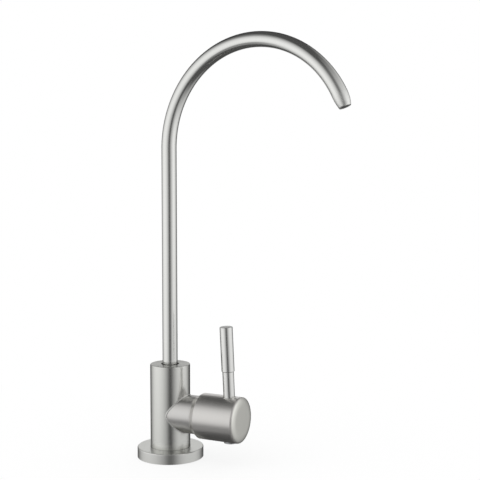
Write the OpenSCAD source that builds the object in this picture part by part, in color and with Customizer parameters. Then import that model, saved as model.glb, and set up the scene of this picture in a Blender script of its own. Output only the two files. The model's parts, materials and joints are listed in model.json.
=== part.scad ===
// Drinking water filter tap: gooseneck spout, round column, side valve with an upright lever.
// The origin is on the column's axis at the worktop. +Z is up and +X runs along the valve.

/* [Base] */
// Diameter of the base flange
base_d = 50.8; // [44:0.1:60]
// Height of the base flange
base_h = 7.8; // [5:0.1:12]
// Rounding of the flange's upper edge
base_edge_r = 0.8; // [0.3:0.1:1.5]
// Outer diameter of the base gasket
gasket_d = 45; // [38:1:47]
// Inner diameter of the base gasket
gasket_hole_d = 33; // [24:1:35]
// Thickness of the base gasket
gasket_h = 2; // [1.2:0.1:3]
// How far the gasket stands out under the flange
gasket_proud = 0.2; // [0.1:0.1:0.8]

/* [Column] */
// Diameter of the column
column_d = 30.6; // [28:0.1:34]
// Height of the column above the flange
column_h = 64; // [61:0.5:80]
// Rounding of the column's upper edge
column_edge_r = 0.6; // [0.2:0.1:1.2]
// Diameter of the spout socket in the column's top
socket_d = 14; // [13.6:0.1:16]
// Diameter of the water ways in the column
way_d = 6.5; // [5:0.1:7.5]
// Diameter of the way from the inlet to the valve seat
seat_way_d = 5.6; // [4:0.1:6]
// Diameter of the cross way from the valve to the spout socket
cross_way_d = 3.6; // [2.5:0.1:4]

/* [Spout] */
// Outer diameter of the spout tube
tube_d = 11.5; // [10:0.1:12]
// Wall of the spout tube
tube_wall = 1; // [0.6:0.1:1.5]
// Swivel of the resting spout from the valve's direction in degrees
spout_turn = -6.5; // [-30:0.5:30]
// Height of the arc's centre above the worktop
arc_z = 236.5; // [180:0.5:300]
// Radius of the gooseneck's centre line
arc_r = 76.5; // [50:0.5:100]
// Sweep of the gooseneck in degrees
arc_sweep = 152.5; // [120:0.5:170]
// Length of the drawn-in tip
tip_l = 9.3; // [6:0.1:20]
// Outer diameter at the end of the tip
tip_d = 8.5; // [7:0.1:10]
// Wall at the end of the tip
tip_wall = 0.8; // [0.5:0.1:1.2]

/* [Spout bearing] */
// Depth of the bush below the column's top
bush_recess = 1; // [0.4:0.1:3]
// Length of the bush
bush_l = 7; // [5:0.5:9]
// Width of the slit in the bush
bush_slit = 1; // [0.5:0.1:2]
// Thickness of the circlip under the bush
circlip_t = 1; // [0.8:0.1:1.5]
// Depth of the circlip's groove in the socket wall
circlip_depth = 0.9; // [0.5:0.1:1.2]
// Opening of the circlip
circlip_gap = 6; // [4:0.5:8]
// Length of the tail's shouldered part
tail_l = 12.5; // [11:0.5:14]
// Length of the tail's spigot in the tube
spigot_l = 10; // [6:0.5:16]
// Diameter of the tail's bore
tail_bore_d = 6; // [4:0.1:7]
// Thickness of the spout's O-rings
spout_ring_t = 1.4; // [1:0.1:1.6]
// Width of the O-ring grooves in the tail
spout_groove_w = 1.9; // [1.8:0.1:2.4]
// Distance between the two O-ring grooves
spout_groove_step = 4; // [3:0.1:5]

/* [Valve branch] */
// Height of the valve's axis above the worktop
valve_z = 34.5; // [31:0.25:36]
// Diameter of the branch
branch_d = 29; // [27:0.1:29.5]
// Distance from the column's axis to the end of the branch
branch_reach = 24.3; // [20:0.1:26]
// Diameter of the valve chamber
chamber_d = 20.3; // [19.6:0.1:21]
// Depth of the ring gallery round the chamber
gallery_depth = 1.3; // [0.6:0.1:1.6]

/* [Cartridge] */
// Thickness of the cartridge's wall
barrel_wall = 2.2; // [1.8:0.1:2.6]
// Thickness of the lip seal on the valve seat
seal_t = 2; // [1.4:0.1:2.2]
// Hole in the lip seal
seal_hole_d = 11; // [8:0.5:12]
// Thickness of each ceramic disc
disc_t = 3; // [2.4:0.1:3.2]
// Inner radius of the disc ports
port_in_r = 2.2; // [1.8:0.1:3]
// Outer radius of the fixed disc's ports
port_out_r = 6; // [5:0.1:6.4]
// Opening of each disc port in degrees
port_a = 78; // [60:1:84]
// Number of water windows in the cartridge's wall
window_count = 4; // [3:1:6]
// Width of each water window
window_w = 4; // [3:0.1:5]
// Thickness of the stem's drive plate
plate_t = 2; // [1.5:0.1:2.2]
// Width of the drive tongue
tongue_w = 3.8; // [3:0.1:4.5]
// Height of the drive tongue
tongue_h = 1.1; // [0.8:0.1:1.4]
// Opening of the stop lug in degrees
lug_a = 60; // [40:1:90]
// Travel of the handle in degrees
handle_travel = 90; // [60:1:100]
// Thickness of the cartridge's collar
collar_t = 1.5; // [1:0.1:2]
// Width of the collar outside the chamber
collar_w = 0.85; // [0.6:0.05:1.2]
// Diameter of the stem
stem_d = 8; // [7:0.1:9]
// Wall of the cartridge's neck
neck_wall = 2.45; // [2:0.05:2.8]
// Length of the neck beyond the gland nut
neck_stand = 3.5; // [2:0.1:5]
// Thickness of the cartridge's O-ring
cartridge_ring_t = 1.5; // [1.2:0.1:1.6]
// Thickness of the stem's O-ring
stem_ring_t = 1.4; // [1:0.1:1.6]
// Thickness of the stem's clip
clip_t = 0.9; // [0.6:0.1:1.2]
// Depth of the clip's groove in the stem
clip_depth = 0.8; // [0.5:0.1:1]
// Width of the clip's ring
clip_w = 2.3; // [1.8:0.1:2.6]
// Teeth on the stem's spline
spline_teeth = 20; // [12:1:24]
// Depth of the spline's teeth
spline_depth = 0.5; // [0.3:0.1:0.7]
// Length of the spline
spline_l = 12; // [9:0.5:13]
// Length of the gland nut's thread
nut_thread_l = 3; // [2.5:0.1:4]
// Thickness of the gland nut's head
nut_head_t = 4.5; // [3:0.1:6]
// Width across the flats of the gland nut's head
nut_flats = 22.4; // [22.2:0.1:23]

/* [Handle] */
// Diameter of the hub
hub_d = 34.5; // [32.5:0.5:40]
// Length of the hub
hub_l = 36.8; // [36:0.1:60]
// Depth of the hub's bevel behind
hub_bevel = 2.8; // [1:0.1:3.6]
// Length of the hub's bevel behind
hub_bevel_l = 4.4; // [1:0.1:8]
// Rounding of the hub's front edge
hub_edge_r = 1.5; // [0.4:0.1:2]
// Wall of the hub's rear skirt at its lip
skirt_wall = 2.2; // [1.5:0.1:3]
// Distance from the hub's front face to the lever's axis
lever_setback = 9.4; // [8:0.1:11]
// Forward lean of the closed lever in degrees
lever_lean = 2; // [0:0.5:8]
// Lean of the lever towards the column in degrees
lever_rake = 1.8; // [0:0.1:4]
// Diameter of the lever's hole in the hub
lever_hole_d = 9.2; // [9:0.1:12]
// Depth of the lever's hole in the hub
lever_hole_l = 8; // [6:0.5:10]
// Diameter of the lever's lower rod
rod_d = 8.6; // [7:0.1:8.9]
// Length of the lower rod above the hub
rod_l = 18.9; // [12:0.1:30]
// Diameter of the lever's grip
grip_d = 9.7; // [9:0.1:12]
// Length of the lever's grip
grip_l = 33.9; // [25:0.1:60]
// Rounding of the grip's edges
grip_edge_r = 0.7; // [0.3:0.1:1.5]
// Diameter of the lever screw's head
screw_head_d = 11; // [8:0.1:11.5]
// Length of the lever screw's head
screw_head_l = 6; // [4:0.1:7]
// How far the lever screw's head stands out of the hub
screw_proud = 0.4; // [0.2:0.1:2]
// Diameter of the lever screw's shank
screw_d = 4; // [3:0.1:5]
// Length of the lever screw in the lever
screw_bite = 8; // [5:0.5:12]
// Width across the flats of the lever screw's key socket
screw_key = 5; // [4:0.1:5.5]
// Diameter of the grub screw
grub_d = 4.8; // [4:0.1:6]
// Depth of the grub screw below the hub's surface
grub_sunk = 0.6; // [0.3:0.1:1.5]
// Width across the flats of the grub screw's key socket
grub_key = 2.5; // [2:0.1:3]

/* [Shank and fixings] */
// Outer diameter of the threaded shank
shank_d = 11.1; // [10:0.1:12]
// Length of the shank's thread below the worktop
shank_below = 40; // [36:1:70]
// Length of the shank in the column
shank_bite = 12; // [8:0.5:13]
// Outer diameter of the plain inlet spigot
inlet_d = 6.35; // [6:0.05:8]
// Length of the inlet spigot
inlet_l = 18; // [12:0.5:25]
// Bore of the shank and inlet spigot
inlet_bore_d = 4.2; // [3:0.1:4.6]
// Thickness of the seal on the shank's end
shank_seal_t = 1.5; // [1:0.1:2]
// Thickness of the worktop that is clamped
deck_t = 20; // [3:1:22]
// Diameter of the washers under the worktop
washer_d = 32; // [26:1:40]
// Thickness of the rubber washer
rubber_t = 3; // [2:0.1:4]
// Thickness of the steel washer
steel_t = 1.5; // [1:0.1:2]
// Thickness of the spring washer
spring_t = 2; // [1.5:0.1:3]
// Width of the spring washer's ring
spring_w = 3.2; // [2.5:0.1:4]
// Slit in the spring washer
spring_slit = 1.2; // [0.8:0.1:2]
// Width across the flats of the mounting nut
mount_flats = 17; // [16:0.5:22]
// Thickness of the mounting nut
mount_nut_t = 7; // [5:0.5:9]

/* [Fits] */
// Radial clearance of turning fits
running_fit = 0.06; // [0.03:0.01:0.1]
// Radial clearance of pieces that are fitted and stay
seat_fit = 0.05; // [0.02:0.01:0.1]
// Radial clearance of bolts in plain holes
bolt_fit = 0.25; // [0.1:0.05:0.4]
// Free gap between faces that turn past each other
running_gap = 0.4; // [0.3:0.05:0.8]
// Free gap between the branch and the turning hub
hub_gap = 0.15; // [0.1:0.05:0.8]
// End play of the spout and of the stem
end_play = 0.2; // [0.1:0.05:0.3]
// Film gap between the two ceramic discs
disc_gap = 0.05; // [0.03:0.01:0.1]
// Free angle at the handle's stops in degrees
stop_gap = 2; // [1:0.5:4]

/* [Hidden] */

$fn = 96;
hex_sides = 6;
// Overlap by which cutting shapes pass a face
cut = 1;

brushed = [0.75, 0.75, 0.73];
zinc = [0.66, 0.68, 0.70];
brass = [0.80, 0.65, 0.35];
black = [0.08, 0.08, 0.08];
ivory = [0.93, 0.92, 0.87];

// Levels of the base and column
base_top = gasket_proud + base_h;
column_top = base_top + column_h;
column_r = column_d / 2;
way_r = way_d / 2;

// Levels in the spout socket, from the top down
bush_top = column_top - bush_recess;
bush_floor = bush_top - bush_l;
circlip_floor = bush_floor - circlip_t;
tail_top = circlip_floor - end_play;
tail_floor = tail_top - tail_l;
socket_floor = tail_floor - end_play;
socket_r = socket_d / 2;
tube_r = tube_d / 2;
tube_bore_r = tube_r - tube_wall;
tail_r = socket_r - running_fit;
spout_ring_r = socket_r - running_fit - spout_ring_t / 2;
spout_groove_r = spout_ring_r - spout_ring_t / 2 - seat_fit;
groove_z = [for (i = [-1, 1]) tail_floor + tail_l / 2 + i * spout_groove_step / 2];

// Places along the valve, from the end of the branch towards the seat
collar_x = branch_reach - nut_thread_l - collar_t;
plate_x = collar_x - end_play - plate_t;
moving_x = plate_x - disc_t;
fixed_x = moving_x - disc_gap - disc_t;
seat_x = fixed_x - seal_t;
barrel_x = fixed_x - seal_t / 2;
chamber_r = chamber_d / 2;
barrel_r = chamber_r - seat_fit;
barrel_bore_r = barrel_r - barrel_wall;
disc_r = barrel_bore_r - running_fit;
collar_r = chamber_r + collar_w;
thread_r = collar_r + seat_fit;
cross_z = valve_z + chamber_r;
stem_r = stem_d / 2;
neck_bore_r = stem_r + running_fit;
neck_r = neck_bore_r + neck_wall;
lug_r = stem_r + (barrel_bore_r - stem_r) / 2;

// Places along the valve, from the end of the branch outwards
neck_end_x = branch_reach + nut_head_t + neck_stand;
clip_x = neck_end_x + end_play;
web_x = clip_x + clip_t + running_gap;
stem_end_x = web_x + spline_l;
hub_x = branch_reach + hub_gap;
hub_end_x = hub_x + hub_l;
hub_r = hub_d / 2;
skirt_r = hub_r - hub_bevel - skirt_wall;
lever_x = hub_end_x - lever_setback;
grub_x = web_x + spline_l / 2;
spline_r = stem_r - seat_fit;

// Grooves for the sealing rings of the cartridge
window_l = disc_t - end_play;
ring_groove_x = collar_x - cartridge_ring_t - end_play;
cartridge_ring_r = chamber_r - seat_fit - cartridge_ring_t / 2;
cartridge_groove_r = cartridge_ring_r - cartridge_ring_t / 2 - seat_fit;
stem_groove_x = collar_x + (neck_end_x - collar_x) / 2;
stem_groove_w = stem_ring_t + 2 * end_play;
stem_ring_r = neck_bore_r - running_fit - stem_ring_t / 2;
stem_groove_r = stem_ring_r - stem_ring_t / 2 - seat_fit;
clip_in_r = stem_r - clip_depth;

// Levels along the lever, from the valve's axis
lever_floor = hub_r - lever_hole_l;
grip_floor = hub_r + rod_l;
head_end = -hub_r - screw_proud;
head_top = head_end + screw_head_l;

// Levels of the shank and the fixings under the worktop
shank_r = shank_d / 2;
shank_top = base_top + shank_bite;
shank_bore_top = shank_top + shank_seal_t;
bolt_r = shank_r + bolt_fit;
rubber_z = -deck_t - rubber_t;
steel_z = rubber_z - steel_t;
spring_z = steel_z - spring_t;
mount_nut_z = spring_z - mount_nut_t;

// Each run of the spout laps a little into the one before and is a hair slimmer
lap = 0.2;
lap_step = 0.02;
lap_a = lap / arc_r * 180 / PI;

// Circle through the corners of a hexagon with the given width across its flats
function corner_r(flats) = flats / 2 / cos(180 / hex_sides);

// Outline of a spline: tip and root of each tooth take a fifth of its pitch, the flanks the rest
spline_flat = 0.2;
function spline_outline(tip_r) = [
    for (tooth = [0 : spline_teeth - 1], side = [-1, 1], end = [0, 1])
        let (
            r = (side < 0) == (end == 0) ? tip_r - spline_depth : tip_r,
            turn = side * (r == tip_r ? spline_flat / 2 : (1 - spline_flat) / 2),
            a = (tooth + turn) * 360 / spline_teeth
        )
        [r * cos(a), r * sin(a)]
];

module ring(r, hole_r, h) {
    difference() {
        cylinder(r = r, h = h);
        translate([0, 0, -cut]) cylinder(r = hole_r, h = h + 2 * cut);
    }
}

// Ring of round section about the Z axis
module o_ring(r, t) {
    rotate_extrude() translate([r, 0]) circle(d = t);
}

// Part of a ring between two angles
module sector(in_r, out_r, start_a, sweep_a, h) {
    rotate([0, 0, start_a])
        rotate_extrude(angle = sweep_a) translate([in_r, 0]) square([out_r - in_r, h]);
}

// Two equal sectors opposite each other, centred on the given angle
module port_pair(out_r, centre_a, h) {
    for (a = [centre_a, centre_a + 180])
        sector(port_in_r, out_r, a - port_a / 2, port_a, h);
}

// Half outline of a turned post with a rounded upper edge
module rounded_post(r, h, edge_r) {
    square([r, h - edge_r]);
    square([r - edge_r, h]);
    translate([r - edge_r, h - edge_r]) intersection() {
        circle(r = edge_r);
        square(edge_r);
    }
}

module hexagon(flats, h) {
    cylinder(r = corner_r(flats), h = h, $fn = hex_sides);
}

// Places a piece that is turned about +Z on the valve's axis
module on_valve(x) {
    translate([x, 0, valve_z]) rotate([lever_lean, 0, 0]) rotate([0, 90, 0]) children();
}

// Places a piece that stands along the lever
module on_lever() {
    translate([lever_x, 0, valve_z]) rotate([lever_lean, 0, 0]) rotate([0, -lever_rake, 0]) children();
}

// Bores of the valve, shared by the column and the branch
module valve_bores() {
    on_valve(seat_x) cylinder(r = chamber_r, h = branch_reach - seat_x + cut);
    on_valve(moving_x) cylinder(r = chamber_r + gallery_depth, h = window_l);
    on_valve(collar_x) cylinder(r = thread_r, h = branch_reach - collar_x + cut);
    translate([0, 0, cross_z]) rotate([0, 90, 0]) cylinder(d = cross_way_d, h = moving_x + window_l / 2);
}

// Frame of the gooseneck: its arc starts on the frame's X axis and turns towards Y
module on_arc() {
    rotate([0, 0, spout_turn]) translate([arc_r, 0, arc_z]) rotate([90, 0, 180]) children();
}

// Frame of the tip, along +Z, a lap before the end of the arc
module on_tip() {
    on_arc() rotate([0, 0, arc_sweep - lap_a]) translate([arc_r, 0, 0]) rotate([-90, 0, 0]) children();
}

// Drawn-in tip: its side is an arc that leaves the tube without a kink
module nose(r, end_r) {
    side_r = (pow(tip_l, 2) + pow(r - end_r, 2)) / (2 * (r - end_r));
    rotate_extrude() intersection() {
        square([r, tip_l]);
        translate([r - side_r, 0]) circle(r = side_r);
    }
}

// The spout's run as a solid bar of the given radii, lengthened below
module spout_run(r, end_r, extra) {
    translate([0, 0, tail_top - extra]) cylinder(r = r, h = arc_z + lap - tail_top + extra);
    on_arc() rotate_extrude(angle = arc_sweep) translate([arc_r, 0]) circle(r = r - lap_step);
    on_tip() nose(r - 2 * lap_step, end_r);
}

// Base

module base_flange() {
    color(brushed) translate([0, 0, gasket_proud]) difference() {
        rotate_extrude() rounded_post(base_d / 2, base_h, base_edge_r);
        translate([0, 0, -cut]) cylinder(r = bolt_r, h = base_h + 2 * cut);
        translate([0, 0, -gasket_proud])
            ring(gasket_d / 2 + seat_fit, gasket_hole_d / 2 - seat_fit, gasket_h);
    }
}

module base_gasket() {
    color(black) ring(gasket_d / 2, gasket_hole_d / 2, gasket_h);
}

// Column and branch

module body_column() {
    color(brushed) difference() {
        translate([0, 0, base_top]) rotate_extrude() rounded_post(column_r, column_h, column_edge_r);
        translate([0, 0, socket_floor]) cylinder(r = socket_r, h = column_top - socket_floor + cut);
        translate([0, 0, circlip_floor]) cylinder(r = socket_r + circlip_depth, h = circlip_t);
        translate([0, 0, cross_z - cross_way_d])
            cylinder(r = way_r, h = socket_floor - cross_z + cross_way_d + cut);
        translate([0, 0, base_top - cut])
            cylinder(r = shank_r + seat_fit, h = shank_bore_top - base_top + cut);
        translate([0, 0, shank_top]) cylinder(r = way_r, h = valve_z + way_r - shank_top);
        translate([0, 0, valve_z]) rotate([0, 90, 0]) cylinder(d = seat_way_d, h = seat_x + cut);
        valve_bores();
    }
}

module valve_branch() {
    color(brushed) difference() {
        translate([0, 0, valve_z]) rotate([0, 90, 0]) cylinder(d = branch_d, h = branch_reach);
        cylinder(r = column_r + seat_fit, h = column_top);
        valve_bores();
    }
}

// Spout

module spout_tube() {
    outlet_r = tip_d / 2 - tip_wall;
    color(brushed) difference() {
        spout_run(tube_r, tip_d / 2, 0);
        spout_run(tube_bore_r, outlet_r, cut);
        on_tip() cylinder(r = outlet_r, h = tip_l + cut);
    }
}

module spout_tail() {
    color(brass) difference() {
        union() {
            translate([0, 0, tail_floor]) cylinder(r = tail_r, h = tail_l);
            translate([0, 0, tail_top - cut]) cylinder(r = tube_bore_r - seat_fit, h = spigot_l + cut);
        }
        translate([0, 0, tail_floor - cut]) cylinder(d = tail_bore_d, h = tail_l + spigot_l + 2 * cut);
        for (z = groove_z)
            translate([0, 0, z - spout_groove_w / 2]) ring(socket_r, spout_groove_r, spout_groove_w);
    }
}

module spout_o_rings() {
    color(black) for (z = groove_z) translate([0, 0, z]) o_ring(spout_ring_r, spout_ring_t);
}

module spout_bush() {
    color(black) translate([0, 0, bush_floor]) difference() {
        ring(socket_r - seat_fit, tube_r + running_fit, bush_l);
        translate([-socket_d, -bush_slit / 2, -cut]) cube([socket_d, bush_slit, bush_l + 2 * cut]);
    }
}

module spout_circlip() {
    color(zinc) translate([0, 0, circlip_floor]) difference() {
        ring(socket_r + circlip_depth - seat_fit, tube_r + running_gap, circlip_t);
        translate([-socket_d, -circlip_gap / 2, -cut]) cube([socket_d, circlip_gap, circlip_t + 2 * cut]);
    }
}

// Cartridge, fixed pieces

module cartridge_body() {
    color(brass) difference() {
        union() {
            on_valve(barrel_x) ring(barrel_r, barrel_bore_r, collar_x - barrel_x);
            on_valve(collar_x) ring(collar_r, neck_bore_r, collar_t);
            on_valve(collar_x) ring(neck_r, neck_bore_r, neck_end_x - collar_x);
            on_valve(plate_x) stop_lug();
        }
        on_valve(moving_x) for (i = [1 : window_count])
            rotate([0, 0, (i - 1 / 2) * 360 / window_count]) window();
        on_valve(ring_groove_x)
            ring(chamber_r, cartridge_groove_r, cartridge_ring_t + end_play);
    }
}

// Lug in the barrel that stops the drive plate at both ends of its travel
module stop_lug() {
    sector(lug_r, barrel_bore_r + barrel_wall / 2, 0, lug_a, collar_x - plate_x);
}

// Water window through the barrel's wall beside the moving disc
module window() {
    translate([barrel_bore_r - cut, -window_w / 2, 0]) cube([barrel_wall + 2 * cut, window_w, window_l]);
}

module cartridge_seal() {
    color(black) on_valve(seat_x) ring(barrel_bore_r - seat_fit, seal_hole_d / 2, seal_t);
}

module cartridge_o_ring() {
    color(black) on_valve(ring_groove_x + (cartridge_ring_t + end_play) / 2)
        o_ring(cartridge_ring_r, cartridge_ring_t);
}

module fixed_disc() {
    color(ivory) on_valve(fixed_x) difference() {
        cylinder(r = barrel_bore_r - seat_fit, h = disc_t);
        translate([0, 0, -cut]) port_pair(port_out_r, 0, disc_t + 2 * cut);
    }
}

module cartridge_nut() {
    color(brass) difference() {
        union() {
            on_valve(branch_reach - nut_thread_l) cylinder(r = collar_r, h = nut_thread_l);
            on_valve(branch_reach) intersection() {
                hexagon(nut_flats, nut_head_t);
                cylinder(r = skirt_r - running_gap, h = nut_head_t);
            }
        }
        on_valve(branch_reach - nut_thread_l - cut)
            cylinder(r = neck_r + bolt_fit, h = nut_thread_l + nut_head_t + 2 * cut);
    }
}

// Cartridge, turning pieces

module moving_disc() {
    color(ivory) on_valve(moving_x) difference() {
        cylinder(r = disc_r, h = disc_t);
        translate([0, 0, -cut]) port_pair(barrel_r, -handle_travel, disc_t + 2 * cut);
        translate([0, 0, disc_t - tongue_h - end_play]) tongue(seat_fit, tongue_h + end_play + cut);
    }
}

// Bar across the drive plate, grown by a clearance for its slot
module tongue(clear, h) {
    l = 2 * port_out_r + 2 * clear;
    w = tongue_w + 2 * clear;
    translate([-l / 2, -w / 2, 0]) cube([l, w, h]);
}

module cartridge_stem() {
    color(brass) difference() {
        union() {
            on_valve(plate_x) cylinder(r = barrel_bore_r - running_gap / 2, h = plate_t);
            on_valve(plate_x - tongue_h) tongue(0, tongue_h + cut);
            on_valve(plate_x) cylinder(r = stem_r, h = web_x - plate_x);
            on_valve(web_x - cut) linear_extrude(height = spline_l + cut) polygon(spline_outline(spline_r));
        }
        on_valve(plate_x - cut)
            sector(lug_r - running_gap / 2, barrel_r, -handle_travel - stop_gap,
                handle_travel + lug_a + 2 * stop_gap, plate_t + 2 * cut);
        on_valve(stem_groove_x - stem_groove_w / 2) ring(stem_r + cut, stem_groove_r, stem_groove_w);
        on_valve(clip_x) ring(stem_r + cut, clip_in_r, clip_t);
    }
}

module stem_o_ring() {
    color(black) on_valve(stem_groove_x) o_ring(stem_ring_r, stem_ring_t);
}

module stem_clip() {
    slot_w = 2 * (clip_in_r + seat_fit);
    color(zinc) on_valve(clip_x) difference() {
        ring(clip_in_r + seat_fit + clip_w, clip_in_r + seat_fit, clip_t);
        translate([0, -slot_w / 2, -cut]) cube([stem_d, slot_w, clip_t + 2 * cut]);
    }
}

// Handle

module handle_hub() {
    color(brushed) difference() {
        on_valve(hub_x) rotate_extrude() difference() {
            rounded_post(hub_r, hub_l, hub_edge_r);
            polygon([[hub_r - hub_bevel, 0], [hub_r, hub_bevel_l], [hub_r + cut, hub_bevel_l],
                [hub_r + cut, -cut], [hub_r - hub_bevel, -cut]]);
        }
        on_valve(hub_x - cut) cylinder(r = skirt_r, h = web_x - hub_x + cut);
        on_valve(web_x - cut) linear_extrude(height = spline_l + end_play + cut)
            polygon(spline_outline(spline_r + seat_fit));
        on_lever() translate([0, 0, lever_floor]) cylinder(d = lever_hole_d, h = lever_hole_l + cut);
        on_lever() translate([0, 0, head_top]) cylinder(d = screw_d + 2 * bolt_fit, h = hub_r - head_top);
        on_lever() translate([0, 0, head_end - cut])
            cylinder(r = screw_head_d / 2 + seat_fit, h = screw_head_l + cut);
        on_grub() translate([0, 0, -hub_r - cut]) cylinder(r = grub_d / 2 + seat_fit, h = hub_r + cut);
    }
}

// Places a piece on the grub screw's axis, with the valve's axis at zero
module on_grub() {
    translate([grub_x, 0, valve_z]) rotate([lever_lean, 0, 0]) children();
}

module hub_grub_screw() {
    grub_end = -hub_r + grub_sunk;
    grub_l = -grub_end - spline_r - seat_fit;
    color(zinc) on_grub() translate([0, 0, grub_end]) difference() {
        cylinder(d = grub_d, h = grub_l);
        translate([0, 0, -cut]) hexagon(grub_key, grub_key + cut);
    }
}

module lever() {
    color(brushed) on_lever() difference() {
        union() {
            translate([0, 0, lever_floor]) cylinder(d = rod_d, h = grip_floor - lever_floor + grip_l / 2);
            translate([0, 0, grip_floor + grip_l / 2]) rotate_extrude()
                rounded_post(grip_d / 2, grip_l / 2, grip_edge_r);
            translate([0, 0, grip_floor + grip_l / 2]) mirror([0, 0, 1]) rotate_extrude()
                rounded_post(grip_d / 2, grip_l / 2, grip_edge_r);
        }
        translate([0, 0, lever_floor - cut])
            cylinder(r = screw_d / 2 + seat_fit, h = screw_bite + end_play + cut);
    }
}

module lever_screw() {
    color(zinc) on_lever() difference() {
        union() {
            translate([0, 0, head_end]) cylinder(d = screw_head_d, h = screw_head_l);
            translate([0, 0, head_top - cut])
                cylinder(d = screw_d, h = lever_floor + screw_bite - head_top + cut);
        }
        translate([0, 0, head_end - cut]) hexagon(screw_key, screw_head_l / 2 + cut);
    }
}

// Shank and fixings

module threaded_shank() {
    color(zinc) difference() {
        union() {
            translate([0, 0, -shank_below]) cylinder(r = shank_r, h = shank_below + shank_top);
            translate([0, 0, -shank_below - inlet_l]) cylinder(d = inlet_d, h = inlet_l + cut);
        }
        translate([0, 0, -shank_below - inlet_l - cut])
            cylinder(d = inlet_bore_d, h = shank_below + inlet_l + shank_top + 2 * cut);
    }
}

module shank_seal() {
    color(black) translate([0, 0, shank_top]) ring(shank_r, way_r, shank_seal_t);
}

module rubber_washer() {
    color(black) translate([0, 0, rubber_z]) ring(washer_d / 2, bolt_r, rubber_t);
}

module steel_washer() {
    color(zinc) translate([0, 0, steel_z]) ring(washer_d / 2, bolt_r, steel_t);
}

module spring_washer() {
    color(zinc) translate([0, 0, spring_z]) difference() {
        ring(bolt_r + spring_w, bolt_r, spring_t);
        translate([0, -spring_slit / 2, -cut])
            cube([bolt_r + spring_w + cut, spring_slit, spring_t + 2 * cut]);
    }
}

module mounting_nut() {
    color(zinc) translate([0, 0, mount_nut_z]) difference() {
        hexagon(mount_flats, mount_nut_t);
        translate([0, 0, -cut]) cylinder(r = shank_r + seat_fit, h = mount_nut_t + 2 * cut);
    }
}

base_flange();
base_gasket();
body_column();
valve_branch();
spout_tube();
spout_tail();
spout_o_rings();
spout_bush();
spout_circlip();
cartridge_body();
cartridge_seal();
cartridge_o_ring();
fixed_disc();
cartridge_nut();
moving_disc();
cartridge_stem();
stem_o_ring();
stem_clip();
handle_hub();
hub_grub_screw();
lever();
lever_screw();
threaded_shank();
shank_seal();
rubber_washer();
steel_washer();
spring_washer();
mounting_nut();
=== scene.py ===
import json
import math

import bmesh
import bpy
from mathutils import Matrix, Vector


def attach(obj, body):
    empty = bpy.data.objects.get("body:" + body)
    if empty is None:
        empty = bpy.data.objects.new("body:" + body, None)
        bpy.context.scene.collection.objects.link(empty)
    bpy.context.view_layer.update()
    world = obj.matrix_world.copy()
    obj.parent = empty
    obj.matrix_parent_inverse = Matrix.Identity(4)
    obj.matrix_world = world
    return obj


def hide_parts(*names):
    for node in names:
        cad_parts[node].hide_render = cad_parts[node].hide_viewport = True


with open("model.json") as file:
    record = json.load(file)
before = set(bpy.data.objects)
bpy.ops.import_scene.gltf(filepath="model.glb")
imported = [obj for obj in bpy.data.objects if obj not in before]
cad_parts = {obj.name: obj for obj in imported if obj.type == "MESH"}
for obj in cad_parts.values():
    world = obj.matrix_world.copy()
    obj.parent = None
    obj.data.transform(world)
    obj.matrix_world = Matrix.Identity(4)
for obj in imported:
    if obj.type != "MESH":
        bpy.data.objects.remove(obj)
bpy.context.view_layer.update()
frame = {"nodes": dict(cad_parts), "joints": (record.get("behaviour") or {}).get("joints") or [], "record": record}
nodes = frame["nodes"]
joints = {row["name"]: row for row in frame["joints"]}
valveHeight = joints["handle_turn"]["pos_m"][2]  # height of the branch's and hub's axis
scene = bpy.context.scene


# A Wire holds one shader socket, and sums of wires add Math nodes
class Wire:
    def __init__(self, tree, socket=None):
        self.tree = tree
        self.socket = socket

    def node(self, kind, settings=(), inputs=(), out=0):
        made = self.tree.nodes.new("ShaderNode" + kind)
        for name, value in dict(settings).items():
            setattr(made, name, value)
        for name, value in dict(inputs).items():
            if isinstance(value, Wire):
                self.tree.links.new(value.socket, made.inputs[name])
            else:
                made.inputs[name].default_value = value
        return Wire(self.tree, made.outputs[out] if made.outputs else None)

    def math(self, operation, *values):
        return self.node("Math", {"operation": operation}, enumerate(values))

    def __add__(self, other):
        return self.math("ADD", self, other)

    def __radd__(self, other):
        return self.math("ADD", other, self)

    def __sub__(self, other):
        return self.math("SUBTRACT", self, other)

    def __rsub__(self, other):
        return self.math("SUBTRACT", other, self)

    def __mul__(self, other):
        return self.math("MULTIPLY", self, other)

    def __rmul__(self, other):
        return self.math("MULTIPLY", other, self)

    def __truediv__(self, other):
        return self.math("DIVIDE", self, other)

    def __rtruediv__(self, other):
        return self.math("DIVIDE", other, self)

    def __pow__(self, other):
        return self.math("POWER", self, other)

    def __rpow__(self, other):
        return self.math("POWER", other, self)

    def __abs__(self):
        return self.math("ABSOLUTE", self)


white = (1, 1, 1, 1)
noiseMiddle = 0.5  # mean level of a noise node
colourMix = {"first": 6, "second": 7, "result": 2}  # sockets of a Mix node that mixes colours


def newMaterial(name):
    made = bpy.data.materials.new(name)
    made.use_nodes = True
    made.node_tree.nodes.clear()
    return made, Wire(made.node_tree)


def splitPlaces(sheet, places):
    return [sheet.node("SeparateXYZ", inputs={0: places}, out=i) for i in range(3)]


def objectPlaces(sheet):
    return splitPlaces(sheet, sheet.node("TexCoord", out="Object"))


def smoothStep(sheet, value, start, end):
    span = {"From Min": start, "From Max": end, "Value": value}
    return sheet.node("MapRange", {"interpolation_type": "SMOOTHSTEP"}, span)


def mixColours(sheet, share, first, second):
    sockets = {"Factor": share, colourMix["first"]: first, colourMix["second"]: second}
    return sheet.node("Mix", {"data_type": "RGBA"}, sockets, out=colourMix["result"])


# Camera at the photograph's viewing angle
cameraSet = {
    "azimuth": 30.558,  # degrees round the column, from -Y towards +X
    "distance": 0.754339,  # from the column's axis, on plan
    "height": 0.222782,
    "heading": 26.4757,
    "tilt": -4.223,
    "lens": 74.29,
}


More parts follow.
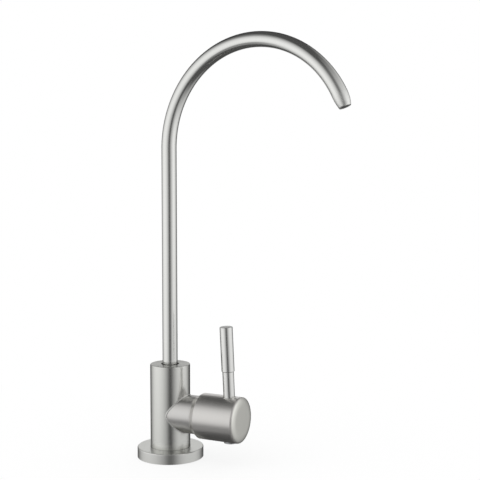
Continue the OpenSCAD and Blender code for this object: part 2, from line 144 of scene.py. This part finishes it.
def buildCamera(s):
    data = bpy.data.cameras.new("camera")
    data.lens = s["lens"]
    camera = bpy.data.objects.new("camera", data)
    turn = math.radians(s["azimuth"])
    camera.location = (math.sin(turn) * s["distance"], -math.cos(turn) * s["distance"], s["height"])
    camera.rotation_euler = (math.radians(90 + s["tilt"]), 0, math.radians(s["heading"]))
    scene.collection.objects.link(camera)
    scene.camera = camera


buildCamera(cameraSet)
scene.view_settings.view_transform = "Standard"
print("camera: lens", cameraSet["lens"], "mm")

# Studio: white surround, pale floor, and a dark tent with soft windows that only gloss sees
studio = {
    "floorRadius": 6.0,
    "floorSides": 96,
    "floorColour": (0.97, 0.97, 0.97),
    "floorFade": (0.05, 0.3),  # distance over which the floor fades into the white surround
    "floorShade": 0.17,  # share of the shadow that the camera sees near the tap
    "surroundLevel": 0.9,  # light that matt surfaces get from the surround
    "tentRadius": 0.75,
    "tentFineness": 4,
    "tentCentre": (0.05, 0.0, 0.15),
    "tentDark": 0.92,
    "lampPlace": (-0.7, -0.9, 1.5),
    "lampSize": 1.2,
    "lampPower": 6.0,
}

# Windows lie at degrees from the camera's side, and wide and high are half sizes to the closed edge
# A high fall closes late and sharply, a high square is boxy, and an opening below 0 is a dark flag
windows = {
    "left": dict(turn=-79, rise=2.3, wide=73.5, high=63.8, open=0.95, fall=2.0, square=2.3),
    "right": dict(turn=73.7, rise=6.8, wide=72.4, high=66, open=0.97, fall=1.42, square=5.4),
    "behind": dict(turn=181.4, rise=8, wide=26, high=21, open=1.0, fall=3.5, square=6),
    "overhead": dict(turn=60, rise=35.2, wide=120, high=22, open=0.14, fall=2.4, square=5.7),
    "lowFlag": dict(turn=-72.5, rise=-37.7, wide=44.7, high=12.8, open=-0.36, fall=2.1, square=4.2),
    "highFlag": dict(turn=-89.2, rise=50.9, wide=33.7, high=10.7, open=-0.17, fall=1.54, square=2.75),
}


def buildSurround(s):
    world = bpy.data.worlds.new("surround")
    world.use_nodes = True
    world.node_tree.nodes.clear()
    world.cycles.sampling_method = "NONE"  # gloss then sees the surround only through the tent
    scene.world = world
    sheet = Wire(world.node_tree)
    seen = sheet.node("LightPath", out="Is Camera Ray")
    seen = seen + sheet.node("LightPath", out="Is Glossy Ray")
    seen = seen + sheet.node("LightPath", out="Is Transmission Ray")
    level = s["surroundLevel"] + (1 - s["surroundLevel"]) * seen.math("MINIMUM", seen, 1.0)
    light = sheet.node("Background", inputs={"Color": white, "Strength": level})
    sheet.node("OutputWorld", inputs={"Surface": light})


def buildFloor(s):
    mesh = bpy.data.meshes.new("floor")
    shape = bmesh.new()
    bmesh.ops.create_circle(shape, cap_ends=True, radius=s["floorRadius"], segments=s["floorSides"])
    shape.to_mesh(mesh)
    shape.free()
    floor = bpy.data.objects.new("floor", mesh)
    floor.visible_glossy = False
    scene.collection.objects.link(floor)
    material, sheet = newMaterial("palePaper")
    x, y = objectPlaces(sheet)[:2]
    far = smoothStep(sheet, (x * x + y * y) ** 0.5, *s["floorFade"])
    glow = 1 - s["floorShade"] * (1 - far)
    seen = glow * sheet.node("LightPath", out="Is Camera Ray")
    matt = sheet.node("BsdfDiffuse", inputs={"Color": (*s["floorColour"], 1)})
    bright = sheet.node("Emission", inputs={"Color": white, "Strength": 1.0})
    mixed = sheet.node("MixShader", inputs={0: seen, 1: matt, 2: bright})
    sheet.node("OutputMaterial", inputs={"Surface": mixed})
    mesh.materials.append(material)


def windowMask(turn, rise, w):
    sideways = turn - (cameraSet["azimuth"] + w["turn"])
    sideways = abs(sideways.math("WRAP", sideways, 180.0, -180.0) / w["wide"])
    upward = abs((rise - w["rise"]) / w["high"])
    reach = (sideways ** w["square"] + upward ** w["square"]) ** (1 / w["square"])
    return w["open"] * (1 - reach.math("MINIMUM", reach, 1.0) ** w["fall"])


def buildTent(s):
    mesh = bpy.data.meshes.new("tent")
    shape = bmesh.new()
    bmesh.ops.create_icosphere(shape, subdivisions=s["tentFineness"], radius=s["tentRadius"])
    shape.to_mesh(mesh)
    shape.free()
    tent = bpy.data.objects.new("tent", mesh)
    tent.location = s["tentCentre"]
    tent.visible_camera = False
    tent.visible_diffuse = False
    tent.visible_transmission = False
    tent.visible_shadow = False
    scene.collection.objects.link(tent)
    material, sheet = newMaterial("tentCloth")
    places = sheet.node("TexCoord", out="Object")
    x, y, z = splitPlaces(sheet, sheet.node("VectorMath", {"operation": "NORMALIZE"}, {0: places}))
    turn = x.math("ARCTAN2", x, -1 * y) * math.degrees(1)
    rise = z.math("ARCSINE", z) * math.degrees(1)
    opened = sum(windowMask(turn, rise, w) for w in windows.values())
    opened = opened.math("MAXIMUM", opened.math("MINIMUM", opened, 1.0), 0.0)
    veil = s["tentDark"] * (1 - opened)
    clear = sheet.node("BsdfTransparent")
    black = sheet.node("Emission", inputs={"Strength": 0.0})
    mixed = sheet.node("MixShader", inputs={0: veil, 1: clear, 2: black})
    sheet.node("OutputMaterial", inputs={"Surface": mixed})
    mesh.materials.append(material)


def buildLamp(s):
    data = bpy.data.lights.new("softbox", "AREA")
    data.size = s["lampSize"]
    data.energy = s["lampPower"]
    lamp = bpy.data.objects.new("softbox", data)
    lamp.location = s["lampPlace"]
    lamp.rotation_euler = (-Vector(s["lampPlace"])).to_track_quat("-Z", "Y").to_euler()
    lamp.visible_glossy = False
    scene.collection.objects.link(lamp)


buildSurround(studio)
buildFloor(studio)
buildTent(studio)
buildLamp(studio)
print("studio:", len(windows), "windows and flags in the tent")

# Satin steel, brushed round each piece's own axis
satinSteel = {
    "spread": 0.04,  # how far brush lines vary the tone
    "roughSpread": 0.035,
    "lineShare": 0.6,  # share of the roughness that follows the brush lines, not the clouding
    "streak": 0.00025,  # width of a brush line
    "streakLength": 0.02,
    "lineDetail": 2.0,
    "lineRoughness": 0.6,
    "cloudScale": 60.0,
    "grooveDepth": 0.0000008,
    "smearTurn": 0.25,  # a quarter turn, so that gloss smears across the brush lines
}
# Edge is the tone at a grazing view, brushed names the axis that the brush lines go round,
# and smear draws the gloss out across those lines
steelLooks = {
    "spout_tube": dict(tone=0.845, tint=(1.0, 1.003, 0.977), rough=0.175, edge=0.45, brushed="bent"),
    "body_column": dict(tone=0.82, tint=(1.0, 1.004, 0.967), rough=0.25, edge=0.5, brushed="upright",
                        smear=0.62),
    "base_flange": dict(tone=0.83, tint=(1.0, 1.003, 0.97), rough=0.3, edge=0.5, brushed="upright"),
    "valve_branch": dict(tone=0.715, tint=(1.0, 0.985, 0.96), rough=0.31, edge=0.5, brushed="sideways"),
    "handle_hub": dict(tone=0.775, tint=(1.0, 0.98, 0.95), rough=0.315, edge=0.8, brushed="sideways"),
    "hub_face": dict(tone=0.93, tint=(1.0, 0.998, 0.94), rough=0.34, edge=0.5, brushed="turned"),
    "lever": dict(tone=0.9, tint=(1.0, 1.0, 0.98), rough=0.2, edge=0.4, brushed="upright"),
    "weld_bead": dict(tone=0.95, tint=(1.0, 1.0, 0.97), rough=0.25, edge=0.5, brushed="upright"),
}
# Tone and roughness past a place on the brushing axis: share of the tone, and added roughness; the lighter flange
# top and hub rim are painted light
steelPatchesAndPaintedLight = {
    "spout_tube": dict(start=0.373, end=0.3815, tone=1.07, rough=0.2),
    "body_column": dict(start=0.0718, end=0.0719, tone=0.89, rough=0.05),
    # lighter top face of the flange: painted light where the face looks up
    "base_flange": dict(start=0.0074, end=0.0077, tone=1.1, rough=0.0),
    # lighter and rougher front rim of the hub: the lighter tone is a painted highlight
    "handle_hub": dict(start=0.0597, end=0.0599, tone=1.08, rough=0.24),
}


def brushPlaces(sheet, brushed):
    x, y, z = objectPlaces(sheet)
    if brushed == "bent":
        along = sheet.node("SeparateXYZ", inputs={0: sheet.node("UVMap", {"uv_map": "along"})})
        return along, x, y
    if brushed == "turned":
        rise = z - valveHeight
        return (y * y + rise * rise) ** 0.5, y, z
    return (x, y, z) if brushed == "sideways" else (z, x, y)


def steelMaterial(name, look, s):
    material, sheet = newMaterial(name + "Steel")
    along, sideA, sideB = brushPlaces(sheet, look["brushed"])
    parts = {0: along / s["streak"], 1: sideA / s["streakLength"], 2: sideB / s["streakLength"]}
    brushing = {"Vector": sheet.node("CombineXYZ", inputs=parts), "Scale": 1.0}
    brushing.update({"Detail": s["lineDetail"], "Roughness": s["lineRoughness"]})
    lines = sheet.node("TexNoise", inputs=brushing)
    clouding = {"Vector": sheet.node("TexCoord", out="Object"), "Scale": s["cloudScale"]}
    cloud = sheet.node("TexNoise", inputs=clouding)
    bump = sheet.node("Bump", inputs={"Strength": 1.0, "Distance": s["grooveDepth"], "Height": lines})

    def tones(share):
        dark = [share * look["tone"] * (1 - s["spread"]) * c for c in look["tint"]]
        light = [share * look["tone"] * (1 + s["spread"]) * c for c in look["tint"]]
        return mixColours(sheet, lines, (*dark, 1), (*light, 1))

    colour = tones(1.0)
    uneven = s["lineShare"] * lines + (1 - s["lineShare"]) * cloud - noiseMiddle
    rough = look["rough"] + s["roughSpread"] * uneven
    # tone patches along the brushing axis; some of them are painted light
    if name in steelPatchesAndPaintedLight:
        patch = steelPatchesAndPaintedLight[name]
        zone = smoothStep(sheet, along, patch["start"], patch["end"])
        colour = mixColours(sheet, zone, colour, tones(patch["tone"]))
        rough = rough + patch["rough"] * zone
    skin = {"Base Color": colour, "Metallic": 1.0, "Roughness": rough, "Normal": bump}
    skin["Specular Tint"] = (look["edge"], look["edge"], look["edge"], 1)
    if "smear" in look:
        skin["Anisotropic"] = look["smear"]
        skin["Anisotropic Rotation"] = s["smearTurn"]
    sheet.node("OutputMaterial", inputs={"Surface": sheet.node("BsdfPrincipled", inputs=skin)})
    return material


steels = {name: steelMaterial(name, look, satinSteel) for name, look in steelLooks.items()}

# Finishes of the other slots, and of the tube's inside
plainGrain = {
    "detail": 3.0,
    "bump": 0.4,
    "bumpDepth": 0.00001,
    "roughSpread": 0.1,
}
plainFinishes = {
    "plain_steel": dict(dark=(0.50, 0.51, 0.52), light=(0.60, 0.61, 0.62), metal=1, rough=0.32, grain=900),
    "black_rubber": dict(dark=(0.012, 0.012, 0.012), light=(0.03, 0.03, 0.03), metal=0, rough=0.75,
                         grain=2500),
    "turned_brass": dict(dark=(0.70, 0.52, 0.24), light=(0.80, 0.63, 0.32), metal=1, rough=0.28, grain=1200),
    "white_ceramic": dict(dark=(0.82, 0.81, 0.77), light=(0.88, 0.87, 0.84), metal=0, rough=0.25, grain=500),
    "tube_lining": dict(dark=(0.24, 0.24, 0.24), light=(0.36, 0.36, 0.35), metal=0.3, rough=0.6, grain=700),
    "black_plastic": dict(dark=(0.01, 0.01, 0.01), light=(0.02, 0.02, 0.02), metal=0, rough=0.5, grain=1500),
}


def plainMaterial(name, look, s):
    material, sheet = newMaterial(name)
    places = sheet.node("TexCoord", out="Object")
    grain = sheet.node("TexNoise", inputs={"Vector": places, "Scale": look["grain"], "Detail": s["detail"]})
    bump = sheet.node("Bump", inputs={"Strength": s["bump"], "Distance": s["bumpDepth"], "Height": grain})
    skin = {
        "Base Color": mixColours(sheet, grain, (*look["dark"], 1), (*look["light"], 1)),
        "Metallic": look["metal"],
        "Roughness": look["rough"] + s["roughSpread"] * (grain - noiseMiddle),
        "Normal": bump,
    }
    sheet.node("OutputMaterial", inputs={"Surface": sheet.node("BsdfPrincipled", inputs=skin)})
    return material


finishes = {name: plainMaterial(name, look, plainGrain) for name, look in plainFinishes.items()}


def dressNodes():
    for row in frame["record"]["subparts"]:
        slots = nodes[row["node"]].data.materials
        slots.clear()
        slots.append(steels.get(row["node"]) or finishes[row["material_slot"]])


dressNodes()
print("finishes:", len(steels), "satin steels and", len(finishes), "others")


# Pieces are closed meshes of rings, each ring a list of points: looped back, or capped at both ends
def ringMesh(name, rings, materials, body, replaced=None, lining=None, capped=False):
    around = len(rings[0])
    points = [p for ring in rings for p in ring]
    faces = []
    for i in range(len(rings) - capped):
        here = i * around
        there = (i + 1) % len(rings) * around
        for j in range(around):
            k = (j + 1) % around
            faces.append((here + j, here + k, there + k, there + j))
    if capped:
        faces.append(tuple(reversed(range(around))))
        faces.append(tuple(range(len(points) - around, len(points))))
    mesh = bpy.data.meshes.new(name)
    mesh.from_pydata(points, [], faces)
    mesh.shade_smooth()
    for material in materials:
        mesh.materials.append(material)
    if lining:  # rings from here on have the second material
        for face in mesh.polygons[lining * around:]:
            face.material_index = 1
    piece = bpy.data.objects.new(name, mesh)
    scene.collection.objects.link(piece)
    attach(piece, body)
    if replaced:
        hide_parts(replaced)
    print("piece:", name, len(points), "points")
    return piece


def ovalRing(centre, sideA, sideB, radiusA, radiusB, around):
    turns = [2 * math.pi * j / around for j in range(around)]
    return [centre + sideA * (radiusA * math.cos(t)) + sideB * (radiusB * math.sin(t)) for t in turns]


def columnRing(radius, height, around):
    return ovalRing(Vector((0, 0, height)), Vector((1, 0, 0)), Vector((0, 1, 0)), radius, radius, around)


def valveRing(along, radius, around):
    centre = Vector((along, 0, valveHeight))
    return ovalRing(centre, Vector((0, 0, 1)), Vector((0, -1, 0)), radius, radius, around)


beadStep = 0.001  # turn to both sides over which a bead's direction is taken


# Rings of a bead along the closed curve that place gives for each turn
def beadRings(place, facing, s):
    rings = []
    for i in range(s["rings"]):
        a = 2 * math.pi * i / s["rings"]
        ahead = (place(a + beadStep) - place(a - beadStep)).normalized()
        sideA = ahead.cross(facing).normalized()
        bead = s["bead"] * (1 + s["ripple"] * math.sin(a * s["ripples"]))
        rings.append(ovalRing(place(a), sideA, ahead.cross(sideA), bead, bead, s["around"]))
    return rings


# Gooseneck tube, bent in one plane and drawn in at its tip
gooseneck = {
    "turn": -6.5,  # degrees from the valve's direction
    "foot": 0.0628,
    "arcHeight": 0.2365,
    "arcRadius": 0.0765,
    "sweep": 152.5,
    "radius": 0.00575,
    "bore": 0.00475,
    "tipLength": 0.0097,
    "tipRadius": 0.00425,
    "tipBore": 0.00345,
    "tipBend": 4.5,  # degrees that the bend still goes on in the tip
    "skew": 0.00018,  # how much longer the mouth's near side is than its middle
    "lip": 0.00015,  # small bevel on both edges of the mouth
    "flattened": 0.03,  # share by which bending thins the tube in its plane
    "blend": 25,  # degrees over which the flattening starts and ends
    "around": 96,
    "straightRings": 24,
    "arcRings": 153,
    "tipRings": 14,
}


def gooseneckStations(s):
    stations = []
    for i in range(s["straightRings"]):
        height = s["foot"] + (s["arcHeight"] - s["foot"]) * i / s["straightRings"]
        stations.append((0.0, height, 0.0, 0.0))
    for i in range(s["arcRings"]):
        turned = s["sweep"] * i / (s["arcRings"] - 1)
        edge = min(1.0, turned / s["blend"], (s["sweep"] - turned) / s["blend"])
        flat = s["flattened"] * edge * edge * (3 - 2 * edge)
        a = math.radians(turned)
        out = s["arcRadius"] * (1 - math.cos(a))
        stations.append((out, s["arcHeight"] + s["arcRadius"] * math.sin(a), a, flat))
    return stations


# Radius at a reach along a tip that is drawn in on an arc
def drawnRadius(start, end, length, reach):
    arc = (length ** 2 + (start - end) ** 2) / (2 * (start - end))
    return start - arc + math.sqrt(arc ** 2 - reach ** 2)


# UV layer with the length along the tube, which its brush lines follow
def markLengths(piece, rings):
    around = len(rings[0])
    lengths = [0.0]
    for before, after in zip(rings, rings[1:]):
        lengths.append(lengths[-1] + (sum(after, Vector()) - sum(before, Vector())).length / around)
    layer = piece.data.uv_layers.new(name="along")
    for loop in piece.data.loops:
        row, j = divmod(loop.vertex_index, around)
        layer.data[loop.index].uv = (lengths[row], j / around)


def buildGooseneck(s):
    turn = math.radians(s["turn"])
    outward = Vector((math.cos(turn), math.sin(turn), 0))
    across = Vector((-math.sin(turn), math.cos(turn), 0))
    upward = Vector((0, 0, 1))
    bend = math.radians(s["tipBend"])

    def heading(a):
        return outward * math.sin(a) + upward * math.cos(a)

    def ring(out, height, a, flat, radius, reach=0.0):
        share = reach / s["tipLength"]
        centre = outward * out + upward * height + heading(a + bend * share / 2) * reach
        a += bend * share
        side = upward * math.sin(a) - outward * math.cos(a)
        near = across - heading(a) * (s["skew"] * share / s["tipRadius"])
        return ovalRing(centre, side, near, radius * (1 - flat), radius, s["around"])

    stations = gooseneckStations(s)
    end = stations[-1]
    rings = [ring(*p, s["radius"]) for p in stations]
    steps = [(s["tipLength"] - s["lip"]) * i / s["tipRings"] for i in range(1, s["tipRings"] + 1)]
    for reach in steps:
        wide = drawnRadius(s["radius"], s["tipRadius"], s["tipLength"], reach)
        rings.append(ring(*end, wide, reach))
    rings.append(ring(*end, s["tipRadius"] - s["lip"], s["tipLength"]))
    lining = len(rings)
    rings.append(ring(*end, s["tipBore"] + s["lip"], s["tipLength"]))
    for reach in reversed(steps):
        wide = drawnRadius(s["bore"], s["tipBore"], s["tipLength"], reach)
        rings.append(ring(*end, wide, reach))
    rings += [ring(*p, s["bore"]) for p in reversed(stations)]
    skins = [steels["spout_tube"], finishes["tube_lining"]]
    piece = ringMesh("gooseneck", rings, skins, "spout", "spout_tube", lining)
    markLengths(piece, rings)
    return piece


buildGooseneck(gooseneck)

# Weld bead along the saddle between the column and the branch
saddleSeam = {
    "columnRadius": 0.01535,
    "branchRadius": 0.01455,
    "bead": 0.0005,
    "ripple": 0.08,  # share by which the bead swells between weld steps
    "ripples": 70,
    "rings": 420,
    "around": 12,
}


def buildSaddleSeam(s):
    def place(a):
        y = s["branchRadius"] * math.sin(a)
        height = valveHeight + s["branchRadius"] * math.cos(a)
        return Vector((math.sqrt(s["columnRadius"] ** 2 - y * y), y, height))

    rings = beadRings(place, Vector((1, 0, 0)), s)
    return ringMesh("saddleSeam", rings, [steels["weld_bead"]], "body")


buildSaddleSeam(saddleSeam)

# Lip behind the hub that covers its joint with the branch
hubLip = {
    "start": 0.0241,
    "length": 0.00098,
    "startRadius": 0.01454,
    "endRadius": 0.01486,
    "depth": 0.00025,  # how far its inside lies below the end of the outside
    "rings": 12,
    "around": 128,
}


def buildHubLip(s):
    rings = []
    for i in range(s["rings"] + 1):
        share = i / s["rings"]
        radius = s["startRadius"] + (s["endRadius"] - s["startRadius"]) * share * share
        rings.append(valveRing(s["start"] + s["length"] * share, radius, s["around"]))
    rings.append(valveRing(s["start"] + s["length"], s["endRadius"] - s["depth"], s["around"]))
    return ringMesh("hubLip", rings, [steels["handle_hub"]], "handle")


buildHubLip(hubLip)

# Softly domed front of the hub, with a crisp edge
hubFace = {
    "edge": (0.0611, 0.01645),  # along the valve and from its axis
    "knee": (0.0622, 0.01455),
    "crown": (0.0622, 0.0105),
    "depth": 0.0004,  # how far its back reaches into the hub
    "rings": 24,
    "around": 160,
}


def buildHubFace(s):
    curve = [Vector(s[name]) for name in ("edge", "knee", "crown")]
    rings = [valveRing(s["edge"][0] - s["depth"], s["edge"][1], s["around"])]
    for i in range(s["rings"] + 1):
        a = i / s["rings"]
        point = curve[0] * (1 - a) ** 2 + curve[1] * 2 * a * (1 - a) + curve[2] * a * a
        rings.append(valveRing(*point, s["around"]))
    return ringMesh("hubFace", rings, [steels["hub_face"]], "handle", capped=True)


buildHubFace(hubFace)

# Rounded rim of the lever's hole on the hub
leverRim = {
    "along": 0.05185,  # place of the lever along the valve
    "lean": 2.0,  # degrees about +X
    "rake": 1.8,  # degrees about -Y
    "holeRadius": 0.00466,
    "hubRadius": 0.01725,
    "bead": 0.00025,
    "ripple": 0.0,
    "ripples": 0,
    "rings": 96,
    "around": 12,
}


def buildLeverRim(s):
    leaned = Matrix.Rotation(math.radians(s["lean"]), 3, "X")
    tilt = leaned @ Matrix.Rotation(math.radians(-s["rake"]), 3, "Y")
    upward = tilt @ Vector((0, 0, 1))
    middle = Vector((s["along"], 0, valveHeight))

    # Up from the hole's circle, along the lever, to the hub's round
    def place(a):
        foot = tilt @ Vector((math.cos(a), math.sin(a), 0)) * s["holeRadius"]
        size = upward.y ** 2 + upward.z ** 2
        half = foot.y * upward.y + foot.z * upward.z
        rest = foot.y ** 2 + foot.z ** 2 - s["hubRadius"] ** 2
        return middle + foot + upward * ((math.sqrt(half * half - size * rest) - half) / size)

    rings = beadRings(place, upward, s)
    return ringMesh("leverRim", rings, [steels["weld_bead"]], "handle")


buildLeverRim(leverRim)

# Thin black ring where the column meets the flange: painted shade, a dark piece that stands in for the shadow in
# that joint
footJointShade = {
    "height": 0.0078,
    "radius": 0.0153,
    "outwards": 0.0004,
    "upwards": 0.0003,
    "sunk": 0.0003,  # how far it reaches into the column and flange
    "around": 128,
}


def buildFootJointShade(s):
    inside = s["radius"] - s["sunk"]
    outside = s["radius"] + s["outwards"]
    low = s["height"] - s["sunk"]
    top = s["height"] + s["upwards"]
    outline = [(inside, low), (inside, top), (s["radius"], top), (outside, s["height"]), (outside, low)]
    rings = [columnRing(*point, s["around"]) for point in outline]
    # the black ring is painted shade in the joint
    return ringMesh("footJointShade", rings, [finishes["black_rubber"]], "body")


buildFootJointShade(footJointShade)

# Shank with its rolled thread, and the plain inlet spigot below it
rolledShank = {
    "radius": 0.00555,
    "top": 0.02,
    "bottom": -0.04,
    "threadTop": 0.018,
    "threadBottom": -0.0392,
    "runOut": 0.0012,  # length over which the thread starts and ends
    "pitch": 0.00127,
    "depth": 0.00068,
    "flank": 2.6,  # slope of the thread's sides, in depths for each pitch
    "flankMeet": 1.15,  # where the sides would meet below the flat root, in depths
    "ringsPerTurn": 10,
    "spigotRadius": 0.003175,
    "spigotBottom": -0.058,
    "edge": 0.0004,  # bevel on the ends of the shank and spigot
    "bore": 0.0021,
    "around": 64,
}


def buildRolledShank(s):
    def threadRing(height):
        ends = min(1.0, (s["threadTop"] - height) / s["runOut"], (height - s["threadBottom"]) / s["runOut"])
        ring = []
        for j in range(s["around"]):
            turn = j / s["around"]
            phase = (height / s["pitch"] - turn) % 1.0
            groove = min(1.0, max(0.0, s["flankMeet"] - s["flank"] * abs(phase - 0.5)))
            radius = s["radius"] - s["depth"] * max(0.0, ends) * groove
            a = 2 * math.pi * turn
            ring.append(Vector((radius * math.cos(a), radius * math.sin(a), height)))
        return ring

    edge = s["edge"]
    above = [(s["bore"], s["top"]), (s["radius"] - edge, s["top"]), (s["radius"], s["top"] - edge)]
    below = [
        (s["radius"] - edge, s["bottom"]),
        (s["spigotRadius"], s["bottom"]),
        (s["spigotRadius"], s["spigotBottom"] + edge),
        (s["spigotRadius"] - edge, s["spigotBottom"]),
        (s["bore"], s["spigotBottom"]),
    ]
    length = s["threadTop"] - s["threadBottom"]
    count = round(length / s["pitch"] * s["ringsPerTurn"])
    rings = [columnRing(*point, s["around"]) for point in above]
    rings += [threadRing(s["threadTop"] - length * i / count) for i in range(count + 1)]
    rings += [columnRing(*point, s["around"]) for point in below]
    return ringMesh("rolledShank", rings, [finishes["plain_steel"]], "body", "threaded_shank")


buildRolledShank(rolledShank)
